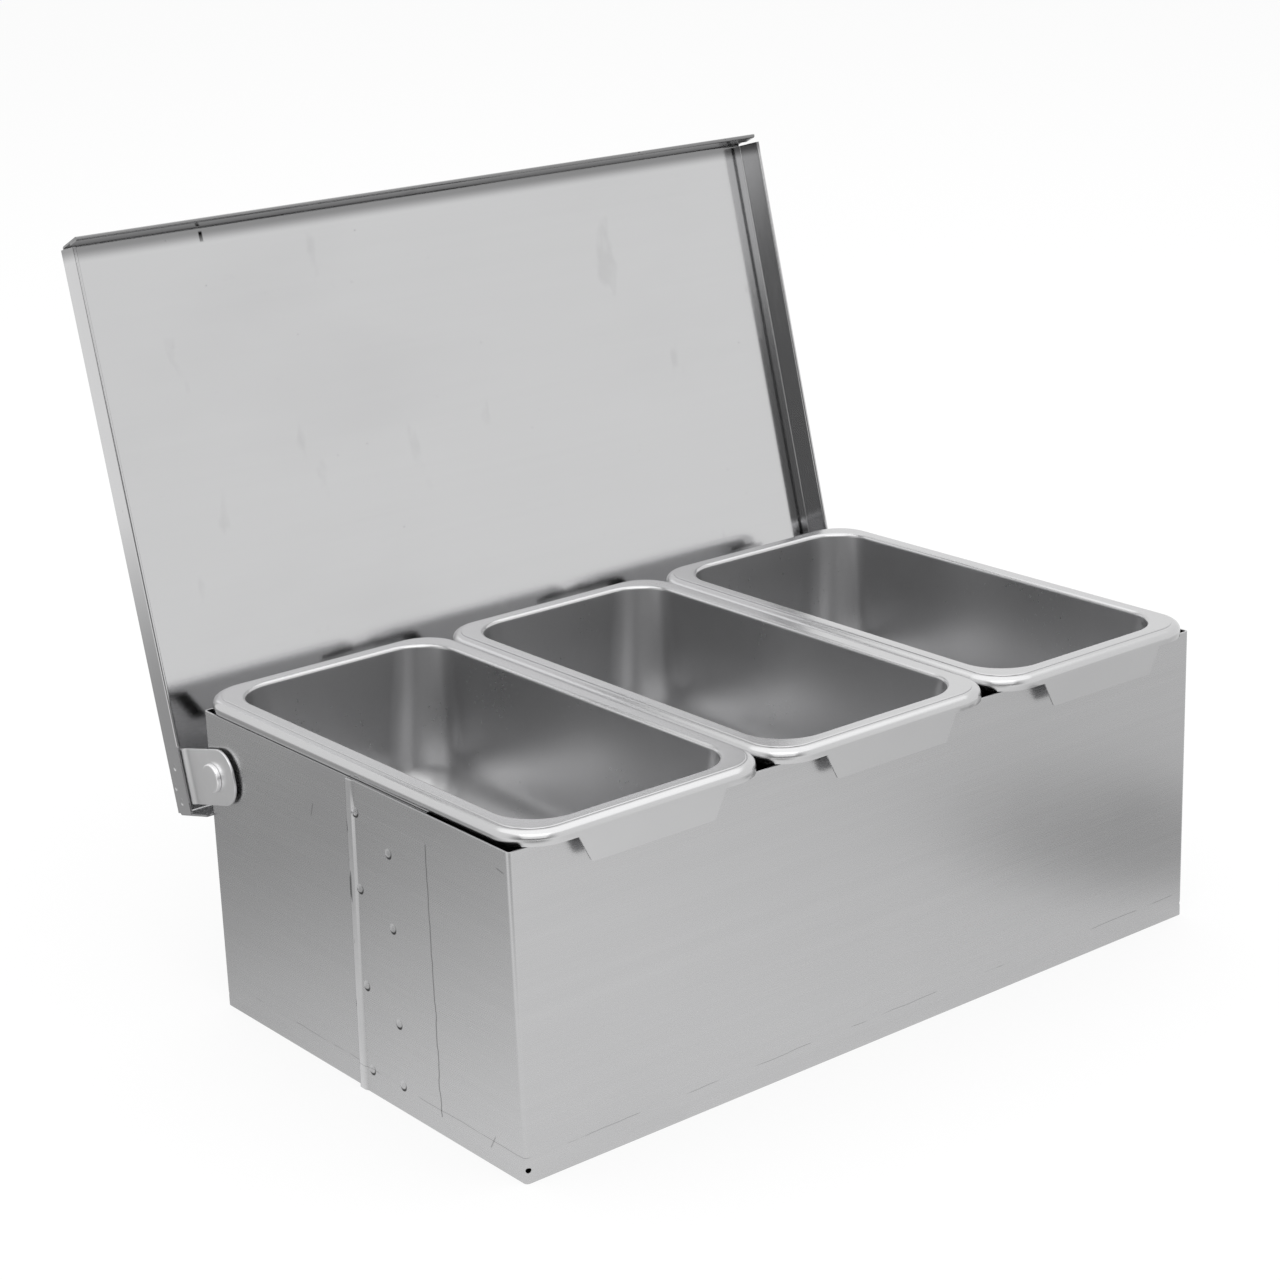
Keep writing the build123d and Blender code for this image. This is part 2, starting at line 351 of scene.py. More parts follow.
def noisePatches(tree, place, grain, detail, start, full):
    # the peaks of a noise: 0 where it is under the start, and 1 from the full value on
    return rampUp(tree, noiseAlong(tree, place, grain, detail), start, full)


steelPattern = {
    "lineDetail": 3.0,
    "lineRoughness": 0.6,
    "broadScale": 0.12,
    "broadDetail": 2.0,
    "patchDetail": 4.0,
    "patchDistortion": 0.6,
}


def brushGroup():
    # fine brushed lines: the pattern is stretched along the axes with a low Lines value
    group, source, sink = newGroup(
        "brushLines",
        [("Place", "NodeSocketVector", None), ("Lines", "NodeSocketVector", (20, 20, 3000))],
        ["Lines", "Broad"])
    stretch = vectorNode(group, "MULTIPLY", source.outputs["Place"], source.outputs["Lines"])
    stretched = stretch.outputs["Vector"]
    lines = noise(group, stretched, 1.0, steelPattern["lineDetail"], steelPattern["lineRoughness"])
    broad = noise(group, stretched, steelPattern["broadScale"], steelPattern["broadDetail"])
    group.links.new(lines, sink.inputs["Lines"])
    group.links.new(broad, sink.inputs["Broad"])
    return group


def handlingGroup():
    # faint cloudy patches, as handling leaves them
    group, source, sink = newGroup(
        "handling",
        [("Place", "NodeSocketVector", None), ("Patch Size", "NodeSocketFloat", 18.0)], ["Patches"])
    patches = noise(group, source.outputs["Place"], source.outputs["Patch Size"],
                    steelPattern["patchDetail"], distortion=steelPattern["patchDistortion"])
    group.links.new(patches, sink.inputs["Patches"])
    return group


brushLines = brushGroup()
handling = handlingGroup()
print("steel patterns ready")


def steelMaterial(name, look, wearAndShade=None):
    # stainless sheet: tone, roughness and height follow the grain, the handling patches and the group of
    # wear and painted shade
    material = bpy.data.materials.new(name)
    material.use_nodes = True
    tree = material.node_tree
    shader = tree.nodes["Principled BSDF"]
    shader.inputs["Metallic"].default_value = 1.0
    place = tree.nodes.new("ShaderNodeTexCoord").outputs["Object"]
    grain = placeGroup(tree, brushLines, place)
    grain.inputs["Lines"].default_value = look["lines"]
    lines = grain.outputs["Lines"]
    handled = placeGroup(tree, handling, place)
    handled.inputs["Patch Size"].default_value = look["patchSize"]
    patches = handled.outputs["Patches"]
    tones = [swing(tree, lines, look["lineTone"]), swing(tree, grain.outputs["Broad"], look["broadTone"]),
             swing(tree, patches, look["patchTone"]), 1.0]
    roughs = [swing(tree, lines, look["lineRough"]), swing(tree, patches, look["patchRough"]),
              look["roughness"]]
    heights = [multiply(tree, lines, look["lineBump"]), multiply(tree, patches, look["waveBump"])]
    if wearAndShade:
        wornAndShaded = placeGroup(tree, wearAndShade, place)
        tones.append(wornAndShaded.outputs["Tone"])
        roughs.append(wornAndShaded.outputs["Rough"])
        heights.append(wornAndShaded.outputs["Height"])
    colour = vectorNode(tree, "SCALE", look["colour"])
    tree.links.new(addUp(tree, tones), colour.inputs["Scale"])
    tree.links.new(colour.outputs["Vector"], shader.inputs["Base Color"])
    tree.links.new(addUp(tree, roughs), shader.inputs["Roughness"])
    bump = tree.nodes.new("ShaderNodeBump")
    bump.inputs["Distance"].default_value = 1.0
    bump.inputs["Strength"].default_value = 1.0
    tree.links.new(addUp(tree, heights), bump.inputs["Height"])
    tree.links.new(bump.outputs["Normal"], shader.inputs["Normal"])
    return material


# The wall sheet, folded round four sides and lapped on the left

wall = {
    "sheet": 0.8 * mm,
    "edge": 0.1 * mm,
    "lapGap": 0.1 * mm,
    "innerEndY": -48.0 * mm,
    "seamBottomY": 2.6 * mm,
    "seamTopY": -0.8 * mm,
    "lipWidth": 4.6 * mm,
    "lipRamp": 1.4 * mm,
    "lipLift": 0.6 * mm,
    "bow": 0.8 * mm,
    "foldRadius": 1.6 * mm,
    "foldSegments": 8,
    "reliefRadius": 0.95 * mm,
    "reliefHeight": 5.0 * mm,
    "reliefReach": 4.0 * mm,
    "reliefSegments": 24,
    "holeRadius": 3.0 * mm,
    "weldRadius": 1.9 * mm,
    "weldDepth": 0.25 * mm,
    "frontColumnY": -24.8 * mm,
    "frontColumn": [98.1 * mm, 70.2 * mm, 34.1 * mm, 10.3 * mm],
    "seamColumnY": -5.4 * mm,
    "seamColumn": [107.9 * mm, 79.2 * mm, 42.2 * mm, 9.4 * mm],
    "look": {"colour": (0.54, 0.54, 0.545), "roughness": 0.27, "lines": (30, 30, 2200), "lineTone": 0.022,
             "broadTone": 0.03, "patchSize": 14, "patchTone": 0.02, "lineRough": 0.05, "patchRough": 0.03,
             "lineBump": 0.004 * mm, "waveBump": 0.02 * mm},
}
halfLength, halfDepth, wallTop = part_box("body_wrap")[1]
outerLeft = -halfLength - wall["lapGap"] - wall["sheet"]

# a pattern is a noise's grain along x, y and z, its detail, and where its peaks start and are full;
# a wander is a grain and a detail too, and how far the line strays
wallMarks = {
    "layerMargin": 0.5 * mm,
    # painted sheen on the lifted seam lip, broken into noise patches
    "lipSheenTone": 0.34,
    "lipRough": -0.06,
    "lipSheenPattern": ((200, 200, 30), 2.0, 0.3, 0.7),
    "lipSheenLeast": 0.6,
    "scuffPattern": ((420, 420, 85), 4.0, 0.6, 0.64),
    "scuffFrom": -1.5 * mm,
    "scuffFull": -0.9 * mm,
    "scuffTone": -0.85,
    # a painted shadow line along the seam, where the lifted lip stands off the sheet
    "seamShadowWidth": 0.15 * mm,
    "seamShadowBlur": 0.25 * mm,
    "seamShadowTone": -0.55,
    # the lap line where the inner layer ends: a real step and dip as bumps, and a painted shade line along
    # it
    "lapTop": 108.5 * mm,
    "lapFoot": 7.0 * mm,
    "lapWander": ((0, 0, 75), 3.0, 5.0 * mm),
    "lapWanderAtTop": 0.25,
    "lapWidth": 0.19 * mm,
    "lapShadeTone": -0.55,
    "lapDip": -0.02 * mm,
    "lapStepWidth": 0.6 * mm,
    "lapStep": 0.03 * mm,
    # the base flange line showing through: a slight rise as a bump, and a painted shade line in broken
    # stretches
    "flangeHeight": 9.6 * mm,
    "flangeWander": ((60, 60, 0), 3.0, 1.5 * mm),
    "flangePattern": ((45, 45, 0), 2.0, 0.47, 0.53),
    "flangeWidth": 0.1 * mm,
    "flangeShadeTone": -0.3,
    "flangeRise": 0.02 * mm,
    # painted shade and painted highlight crescents at the weld dents
    "weldShadeTone": -0.9,
    "weldHighlightTone": 0.12,
    "weldShift": 0.55 * mm,
    "weldFade": 1.12,
    "weldBlur": 0.1,
    # middle, direction and half length of each scratch, across the left side and up it
    "scratches": [((24.5 * mm, 100.2 * mm), (0.35, -1.0), 2.2 * mm),
                  ((-91.0 * mm, 112.0 * mm), (1.0, 0.2), 1.6 * mm),
                  ((-78.0 * mm, 9.0 * mm), (0.6, -1.0), 2.5 * mm)],
    "scratchWidth": 0.12 * mm,
    "scratchBlur": 0.3 * mm,
    "scratchEnd": 1.0 * mm,
    "scratchTone": -0.35,
}


def weldCentres():
    return ([(wall["frontColumnY"], z) for z in wall["frontColumn"]]
            + [(wall["seamColumnY"], z) for z in wall["seamColumn"]])


def wallWearAndShade():
    # scuffs and a painted sheen on the lifted seam lip, a painted shadow along the seam, painted shade on
    # the lap and base flange lines showing through, painted shade and highlight at the spot welds, and a few
    # scratches
    group, source, sink = newWearAndShade("wallWearAndShade")
    place = source.outputs["Place"]
    x, y, z = splitPlace(group, place)
    marks = wallMarks
    onLap = mathNode(group, "LESS_THAN", x, -halfLength - marks["layerMargin"])
    onLeft = mathNode(group, "LESS_THAN", x, -halfLength + marks["layerMargin"])

    seamSlope = (wall["seamTopY"] - wall["seamBottomY"]) / wallTop
    fromSeam = subtract(group, subtract(group, y, wall["seamBottomY"]), multiply(group, z, seamSlope))
    lipFull = wall["lipRamp"] - wall["lipWidth"]
    lip = multiply(group, onLap, rampUp(group, fromSeam, -wall["lipWidth"], lipFull))
    # painted sheen on the lifted lip, broken into noise patches
    lipSheenPatches = mapRange(group, noisePatches(group, place, *marks["lipSheenPattern"]), marks["lipSheenLeast"], 1.0)
    scuff = multiply(group, lip, noisePatches(group, place, *marks["scuffPattern"]),
                     rampUp(group, fromSeam, marks["scuffFrom"], marks["scuffFull"]))
    # painted shadow along the seam's edge
    gap = multiply(group, onLeft, fadeBand(group, fromSeam, marks["seamShadowWidth"], marks["seamShadowBlur"]))

    lower = mapRange(group, z, 1.0, marks["lapWanderAtTop"], 0.0, wallTop)
    lapLine = addUp(group, [subtract(group, y, wall["innerEndY"]),
                            multiply(group, wander(group, place, *marks["lapWander"]), lower)])
    inHeight = multiply(group, mathNode(group, "LESS_THAN", z, marks["lapTop"]),
                        mathNode(group, "GREATER_THAN", z, marks["lapFoot"]))
    # painted shade line along the lap's crease
    lap = multiply(group, onLap, inHeight, fadeBand(group, lapLine, marks["lapWidth"], marks["lapWidth"]))
    stepped = rampUp(group, lapLine, -marks["lapStepWidth"], marks["lapStepWidth"])
    lapStep = multiply(group, onLap, inHeight, stepped)

    flangeLine = addUp(group, [subtract(group, z, marks["flangeHeight"]),
                               wander(group, place, *marks["flangeWander"])])
    # painted shade line along the base flange's edge, in broken stretches
    flange = multiply(group, noisePatches(group, place, *marks["flangePattern"]),
                      fadeBand(group, flangeLine, marks["flangeWidth"], marks["flangeWidth"]))

    tones = [multiply(group, lip, lipSheenPatches, marks["lipSheenTone"]), multiply(group, scuff, marks["scuffTone"]),
             multiply(group, gap, marks["seamShadowTone"]), multiply(group, lap, marks["lapShadeTone"]),
             multiply(group, flange, marks["flangeShadeTone"])]
    # each weld dent has a painted shade crescent on one side and a faint painted highlight on the other
    radius = wall["weldRadius"]
    shift = Vector((0, marks["weldShift"], marks["weldShift"]))
    for weldY, weldZ in weldCentres():
        centre = Vector((wallFaceX(weldY, weldZ), weldY, weldZ))
        inside = roundPatch(group, place, centre, radius, radius * marks["weldFade"])
        for spot, tone in ((centre + shift, marks["weldShadeTone"]), (centre - shift, marks["weldHighlightTone"])):
            beside = roundPatch(group, place, spot, radius * (1 - marks["weldBlur"]),
                                radius * (1 + marks["weldBlur"]))
            tones.append(multiply(group, inside, subtract(group, 1.0, beside), tone))
    for (midY, midZ), (runY, runZ), reach in marks["scratches"]:
        run = Vector((0, runY, runZ)).normalized()
        across = Vector((0, -run.z, run.y))
        middle = Vector((0, midY, midZ))
        sideways = subtract(group, dotWith(group, place, across), middle.dot(across))
        along = subtract(group, dotWith(group, place, run), middle.dot(run))
        line = multiply(group, fadeBand(group, sideways, marks["scratchWidth"], marks["scratchBlur"]),
                        fadeBand(group, along, reach, marks["scratchEnd"]))
        tones.append(multiply(group, onLeft, line, marks["scratchTone"]))

    group.links.new(addUp(group, tones), sink.inputs["Tone"])
    group.links.new(multiply(group, lip, marks["lipRough"]), sink.inputs["Rough"])
    height = addUp(group, [multiply(group, lapStep, marks["lapStep"]), multiply(group, lap, marks["lapDip"]),
                           multiply(group, flange, marks["flangeRise"])])
    group.links.new(height, sink.inputs["Height"])
    return group


def wallPath(z):
    # outer face of the sheet at one height, from the hidden lap end round to the seam
    share = z / wallTop
    seamY = wall["seamBottomY"] + (wall["seamTopY"] - wall["seamBottomY"]) * share
    lipStart = seamY - wall["lipWidth"]
    return [Vector((x, y, z)) for x, y in (
        (-halfLength, wall["innerEndY"]), (-halfLength, halfDepth), (halfLength, halfDepth),
        (halfLength, -halfDepth), (outerLeft - wall["bow"] * share, -halfDepth), (outerLeft, lipStart),
        (outerLeft - wall["lipLift"], lipStart + wall["lipRamp"]), (outerLeft - wall["lipLift"], seamY))]


def wallFaceX(y, z):
    # where the bowed outer layer stands at one place
    seamY = wall["seamTopY"] - wall["lipWidth"]
    share = max((seamY - y) / (seamY + halfDepth), 0.0)
    return outerLeft - wall["bow"] * share * z / wallTop


wallSteel = steelMaterial("brushedWallSteel", wall["look"], wallWearAndShade())


def buildWall():
    bm = bmesh.new()
    foot = [bm.verts.new(point) for point in wallPath(0.0)]
    row = [bm.edges.new(pair) for pair in zip(foot, foot[1:])]
    top = wallPath(wallTop)
    for vert in extrudeEdges(bm, row)[0]:
        start = min(range(len(foot)), key=lambda i: (foot[i].co - vert.co).length)
        vert.co = top[start]
    folds = [edge for edge in bm.edges
             if abs(edge.verts[0].co.z - edge.verts[1].co.z) > wallTop / 2
             and abs(abs(edge.verts[0].co.y) - halfDepth) < near]
    roundOff(bm, folds, "EDGES", wall["foldRadius"], wall["foldSegments"])
    faceWay(bm, min(bm.faces, key=lambda f: f.calc_center_median().y), (0, -1, 0))
    tools = bmesh.new()
    for y, z in weldCentres():
        addDent(tools, (wallFaceX(y, z), y, z), (-1, 0, 0), wall["weldRadius"], wall["weldDepth"])
    addRod(tools, (0, hingePoint.y, hingePoint.z), (1, 0, 0), wall["holeRadius"], 4 * halfLength)
    for side in (-1, 1):
        for end in (-1, 1):
            corner = Vector((side * halfLength, end * halfDepth, wall["reliefHeight"]))
            addRod(tools, corner, (side, end, 0), wall["reliefRadius"], 2 * wall["reliefReach"],
                   wall["reliefSegments"])
    bm = cutAway(bm, tools, wall["sheet"], wall["edge"])
    finishPiece(bm, "wallSheet", "box", "body_wrap", [wallSteel])


buildWall()
print("wall sheet built")


# The three pans, drawn from one profile

pans = {
    "sheet": 0.68 * mm,
    "rimCorner": 17.0 * mm,
    "cornerSegments": 20,
    "rimBend": 3.0 * mm,
    "rimSteps": 8,
    "skirt": 5.2 * mm,
    "depth": 65.0 * mm,
    "beadInset": 3.4 * mm,
    "beadRise": 0.4 * mm,
    "beadEdge": 0.3 * mm,
    "beadSteps": 3,
    "rimWidth": 7.3 * mm,
    "openingBend": 1.6 * mm,
    "openingSteps": 7,
    "brightShare": 0.9,      # how far the rim's bright finish runs into the opening's bend
    "cornerTop": 17.4 * mm,
    "cornerBottom": 24.0 * mm,
    "draft": 3.5 * mm,
    "wallRings": 3,
    "floorBend": 20.0 * mm,
    "floorSteps": 10,
    "tabDrop": 10.0 * mm,
    "tabTop": 31.5 * mm,
    "tabBottom": 26.5 * mm,
    "tabCorner": 0.8 * mm,
    "tabCornerSegments": 4,
    "crispAngle": 40.0,
    "look": {"colour": (0.55, 0.55, 0.555), "roughness": 0.29, "lines": (700, 700, 700), "lineTone": 0.02,
             "broadTone": 0.01, "patchSize": 20, "patchTone": 0.02, "lineRough": 0.03, "patchRough": 0.03,
             "lineBump": 0.003 * mm, "waveBump": 0.01 * mm},
    "rimLook": {"colour": (0.58, 0.58, 0.585), "roughness": 0.22, "lines": (500, 500, 500),
                "lineTone": 0.01, "broadTone": 0.01, "patchSize": 30, "patchTone": 0.02,
                "lineRough": 0.02, "patchRough": 0.03, "lineBump": 0.0001 * mm, "waveBump": 0.003 * mm},
}
panSteel = steelMaterial("satinPanSteel", pans["look"])
rimSteel = steelMaterial("brightRimSteel", pans["rimLook"])


def panProfile(rimTop, floorTop):
    # inset from the rim's outer edge, height and corner radius of every ring, from the skirt to the floor
    quarter = math.pi / 2
    flangeTop = rimTop - pans["beadRise"]
    rings = [(0.0, rimTop - pans["skirt"], pans["rimCorner"])]
    for turn in turnsBetween(0, quarter, pans["rimSteps"]):
        inset = pans["rimBend"] * (1 - math.cos(turn))
        rings.append((inset, flangeTop - pans["rimBend"] * (1 - math.sin(turn)), pans["rimCorner"] - inset))
    rings.append((pans["beadInset"], flangeTop, pans["rimCorner"] - pans["beadInset"]))
    for turn in turnsBetween(0, quarter, pans["beadSteps"]):
        inset = pans["beadInset"] + pans["beadEdge"] * (1 - math.cos(turn))
        rings.append((inset, rimTop - pans["beadEdge"] * (1 - math.sin(turn)), pans["rimCorner"] - inset))
    slope = math.atan(pans["draft"] / (rimTop - floorTop))
    for turn in turnsBetween(0, quarter - slope, pans["openingSteps"]):
        inset = pans["rimWidth"] + pans["openingBend"] * math.sin(turn)
        corner = pans["cornerTop"] + pans["openingBend"] * (1 - math.sin(turn))
        rings.append((inset, rimTop - pans["openingBend"] * (1 - math.cos(turn)), corner))
    bendTop = floorTop + pans["floorBend"] * (1 + math.sin(slope))
    bendShare = (rimTop - bendTop) / (rimTop - floorTop)
    bendInset = pans["rimWidth"] + pans["openingBend"] + pans["draft"] * bendShare
    bendCorner = pans["cornerTop"] + (pans["cornerBottom"] - pans["cornerTop"]) * bendShare
    startInset, startZ, startCorner = rings[-1]
    for i in range(1, pans["wallRings"] + 1):
        share = i / pans["wallRings"]
        rings.append((startInset + (bendInset - startInset) * share, startZ + (bendTop - startZ) * share,
                      startCorner + (bendCorner - startCorner) * share))
    middleInset = bendInset + pans["floorBend"] * math.cos(slope)
    for turn in turnsBetween(slope, -quarter, pans["floorSteps"])[1:]:
        inset = middleInset - pans["floorBend"] * math.cos(turn)
        z = floorTop + pans["floorBend"] * (1 + math.sin(turn))
        rings.append((inset, z, bendCorner - (inset - bendInset)))
    return rings


def addGrips(bm, centre, rimTop):
    # the skirt carries on down between two slanted ends, at the front and at the back
    skirtTop = rimTop - pans["beadRise"] - pans["rimBend"]
    skirtFoot = rimTop - pans["skirt"]
    for end in (-1, 1):
        for side in (-1, 1):
            skirt = [f for f in bm.faces
                     if skirtFoot < f.calc_center_median().z < skirtTop
                     and abs(f.normal.y) > abs(f.normal.x) and f.calc_center_median().y * end > 0]
            edges = list({e for f in skirt for e in f.edges})
            verts = list({v for f in skirt for v in f.verts})
            tabEnd = (centre.x + side * pans["tabTop"], 0, 0)
            splitAcross(bm, skirt + edges + verts, tabEnd, (1, 0, 0))
        grip = edgesWhere(bm, lambda co: abs(co.z - skirtFoot) < near and co.y * end > 0
                          and abs(co.x - centre.x) < pans["tabTop"] + near)
        lowEdge = growStrip(bm, grip, (0, 0, -pans["tabDrop"]))
        ends = list({v for e in lowEdge for v in e.verts})
        bmesh.ops.scale(bm, vec=(pans["tabBottom"] / pans["tabTop"], 1, 1), verts=ends,
                        space=Matrix.Translation((-centre.x, 0, 0)))
        roundOff(bm, ends, "VERTICES", pans["tabCorner"], pans["tabCornerSegments"])


def buildPan(name, node, body):
    low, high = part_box(node)
    centre = (low + high) / 2
    halfX = (high.x - low.x) / 2
    halfY = (high.y - low.y) / 2
    rings = panProfile(high.z, high.z - pans["depth"] + pans["sheet"])
    inset, z, corner = rings[0]
    bm = bmesh.new()
    # the first ring: a rectangle's edges with rounded corners
    corners = addRectangle(bm, (centre.x, centre.y, z), halfX - inset, halfY - inset)
    roundOff(bm, corners, "VERTICES", corner, pans["cornerSegments"])
    ring = list(bm.edges)
    bmesh.ops.delete(bm, geom=list(bm.faces), context="FACES_ONLY")
    satinFrom = pans["rimWidth"] + pans["openingBend"] * pans["brightShare"]
    known = set()
    for before, after in zip(rings, rings[1:]):
        ring = growRing(bm, ring, centre, halfX, halfY, before, after)
        fresh = set(bm.faces) - known
        for face in fresh:
            face.material_index = 1 if after[0] < satinFrom else 0
        known |= fresh
    bmesh.ops.contextual_create(bm, geom=ring)
    addGrips(bm, centre, high.z)
    faceWay(bm, min(bm.faces, key=lambda f: f.calc_center_median().z), (0, 0, 1))
    finishPiece(bm, name, body, node, [panSteel, rimSteel], pans["crispAngle"], pans["sheet"])


for place in ("left", "middle", "right"):
    buildPan(place + "Pan", "pan_" + place, place + "_pan")
print("pans built")


# The lid, drawn shut and swung open about the rivets

lid = {
    "openAngle": 103.86,
    "sheet": 0.8 * mm,
    "sheetShare": 0.97,      # the metal is drawn this much thinner, so that a hem's layers stay apart
    "edge": 0.22 * mm,
    "sideClearance": 3.2 * mm,
    "overRim": 2.1 * mm,
    "rearClearance": 1.4 * mm,
    "frontOverhang": 12.7 * mm,
    "stopGap": 0.3 * mm,
    "flange": 12.5 * mm,
    "sideFlare": 4.7,
    "frontFlare": 11.5,
    "bend": 1.1 * mm,
    "bendSegments": 6,
    "hem": 6.0 * mm,
    "hemSteps": 6,
    "hemToPivot": 12.0 * mm,
    "cornerGap": 1.2 * mm,
    "weldRadius": 1.6 * mm,
    "weldDepth": 0.3 * mm,
    "weldDrops": [6.1 * mm, 3.4 * mm, 6.2 * mm],
    "weldRises": [19.4 * mm, 11.6 * mm, 5.9 * mm],
    "look": {"colour": (0.585, 0.585, 0.59), "roughness": 0.12, "lines": (10, 900, 900), "lineTone": 0.012,
             "broadTone": 0.01, "patchSize": 9, "patchTone": 0.02, "lineRough": 0.01, "patchRough": 0.04,
             "lineBump": 0.0006 * mm, "waveBump": 0.03 * mm},
}
openTurn = Matrix.Rotation(math.radians(-lid["openAngle"]), 3, "X")
frontFlare = math.tan(math.radians(lid["frontFlare"]))
sideFlare = math.tan(math.radians(lid["sideFlare"]))
panLow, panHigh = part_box("pan_middle")
lidTop = panHigh.z + lid["overRim"] + lid["sheet"]
lidRearY = panHigh.y + lid["rearClearance"] + lid["sheet"]
lidFrontY = panLow.y - lid["frontOverhang"]
lidHalfLength = halfLength + lid["sideClearance"]
hemStartY = hingePoint.y - lid["hemToPivot"]
lean = math.radians(lid["openAngle"] - 90)
# the rear flange is as deep as the back wall lets it be when the lid stands open
stopReach = halfDepth - hingePoint.y + lid["stopGap"] + (lidRearY - hingePoint.y) * math.sin(lean)
rearFlange = lidTop - hingePoint.z - stopReach / math.cos(lean)

lidMarks = {
    "cloudPattern": ((7, 7, 16), 4.0, 0.52, 0.75),
    "cloudTone": -0.03,
    "cloudRough": 0.05,
    "smearPattern": ((60, 60, 22), 5.0, 0.66, 0.74),
    "smearTone": -0.07,
    "smearRough": 0.08,
    "smearRise": 0.002 * mm,
    "speckPattern": ((500, 500, 300), 2.0, 0.77, 0.79),
    "speckTone": -0.25,
    "foldInner": 2.0 * mm,
    "foldOuter": 7.0 * mm,
    "foldTone": -0.55,
    "nickX": -108.0 * mm,
    "nickWidth": 0.5 * mm,
    "nickBlur": 0.5 * mm,
    "nickY": 4.0 * mm,
    "nickLength": 1.5 * mm,
    "nickEnd": 0.8 * mm,
    "nickTone": -0.5,
}


def lidWearAndShade():
    # clouds, smears and specks on the bright sheet, the shade in its front fold and one nick
    group, source, sink = newWearAndShade("lidWearAndShade")
    place = source.outputs["Place"]
    marks = lidMarks
    clouds = noisePatches(group, place, *marks["cloudPattern"])
    smears = noisePatches(group, place, *marks["smearPattern"])
    specks = noisePatches(group, place, *marks["speckPattern"])
    # the sheet's own depth and height when the lid is shut
    rearward = openTurn @ Vector((0, 1, 0))
    upward = openTurn @ Vector((0, 0, 1))
    fromFront = subtract(group, dotWith(group, place, rearward),
                         rearward.dot(hingePoint) - hingePoint.y + lidFrontY)
    belowTop = subtract(group, upward.dot(hingePoint) - hingePoint.z + lidTop, dotWith(group, place, upward))
    inside = mathNode(group, "GREATER_THAN", belowTop, lid["sheet"] / 2)
    shade = mapRange(group, fromFront, 1.0, 0.0, marks["foldInner"], marks["foldOuter"], "SMOOTHSTEP")
    foldShade = multiply(group, inside, shade)
    fromNickX = subtract(group, splitPlace(group, place)[0], marks["nickX"])
    fromNickY = subtract(group, fromFront, marks["nickY"])
    nick = multiply(group, inside, fadeBand(group, fromNickX, marks["nickWidth"], marks["nickBlur"]),
                    fadeBand(group, fromNickY, marks["nickLength"], marks["nickEnd"]))
    tones = [multiply(group, clouds, marks["cloudTone"]), multiply(group, smears, marks["smearTone"]),
             multiply(group, specks, marks["speckTone"]), multiply(group, foldShade, marks["foldTone"]),
             multiply(group, nick, marks["nickTone"])]
    roughs = [multiply(group, clouds, marks["cloudRough"]), multiply(group, smears, marks["smearRough"])]
    group.links.new(addUp(group, tones), sink.inputs["Tone"])
    group.links.new(addUp(group, roughs), sink.inputs["Rough"])
    group.links.new(multiply(group, smears, marks["smearRise"]), sink.inputs["Height"])
    return group


lidSteel = steelMaterial("brightLidSteel", lid["look"], lidWearAndShade())


def swingOpen(bm):
    bmesh.ops.rotate(bm, verts=list(bm.verts), cent=(0, hingePoint.y, hingePoint.z), matrix=openTurn)


def growHem(bm, edges, inward, down):
    # a half turn at the free edge and a return up the inside
    sheet = lid["sheet"]
    last = Vector((0, 0, 0))
    for turn in turnsBetween(0, math.pi, lid["hemSteps"])[1:]:
        spot = inward * sheet * (1 - math.cos(turn)) + down * sheet * math.sin(turn)
        edges = growStrip(bm, edges, spot - last)
        last = spot
    growStrip(bm, edges, -down * (lid["hem"] - sheet))


def buildLid():
    bm = bmesh.new()
    addRectangle(bm, (0, (lidRearY + lidFrontY) / 2, lidTop), lidHalfLength, (lidRearY - lidFrontY) / 2)
    gap = lid["cornerGap"]
    cuts = [((side * (lidHalfLength - gap), 0, 0), (1, 0, 0)) for side in (-1, 1)]
    cuts += [((0, y, 0), (0, 1, 0)) for y in (lidFrontY + gap, lidRearY - gap, hemStartY)]
    for point, normal in cuts:
        splitAcross(bm, list(bm.verts) + list(bm.edges) + list(bm.faces), point, normal)
    corners = [f for f in bm.faces if f.calc_area() < (2 * gap) ** 2]
    bmesh.ops.delete(bm, geom=corners, context="FACES")
    frontEdge = edgesWhere(bm, lambda co: abs(co.y - lidFrontY) < near)
    rearEdge = edgesWhere(bm, lambda co: abs(co.y - lidRearY) < near)
    folds = frontEdge + rearEdge
    sheet = lid["sheet"]
    down = Vector((0, -frontFlare, -1))
    free = growStrip(bm, frontEdge, down * (lid["flange"] - sheet))
    growHem(bm, free, Vector((0, 1, 0)), down.normalized())
    growStrip(bm, rearEdge, (0, 0, -rearFlange))
    for side in (-1, 1):
        edge = edgesWhere(bm, lambda co: abs(co.x - side * lidHalfLength) < near)
        folds += edge
        down = Vector((side * sideFlare, 0, -1))
        plain = [e for e in edge if all(v.co.y > hemStartY - near for v in e.verts)]
        hemmed = [e for e in edge if e not in plain]
        growStrip(bm, plain, down * lid["flange"])
        free = growStrip(bm, hemmed, down * (lid["flange"] - sheet))
        growHem(bm, free, Vector((-side, 0, 0)), down.normalized())
    roundOff(bm, folds, "EDGES", lid["bend"], lid["bendSegments"])
    bmesh.ops.remove_doubles(bm, verts=list(bm.verts), dist=near)
    faceWay(bm, max(bm.faces, key=lambda f: f.calc_area()), (0, 0, 1))
    tools = bmesh.new()
    for side in (-1, 1):
        for drop, rise in zip(lid["weldDrops"], lid["weldRises"]):
            point = (side * (lidHalfLength + sideFlare * drop), lidRearY - rise, lidTop - drop)
            addDent(tools, point, (side, 0, 0), lid["weldRadius"], lid["weldDepth"])
    bm = cutAway(bm, tools, sheet * lid["sheetShare"], lid["edge"])
    swingOpen(bm)
    finishPiece(bm, "lidSheet", "lid", "lid_tray", [lidSteel])


buildLid()
print("lid built")


# Hinge brackets and rivets

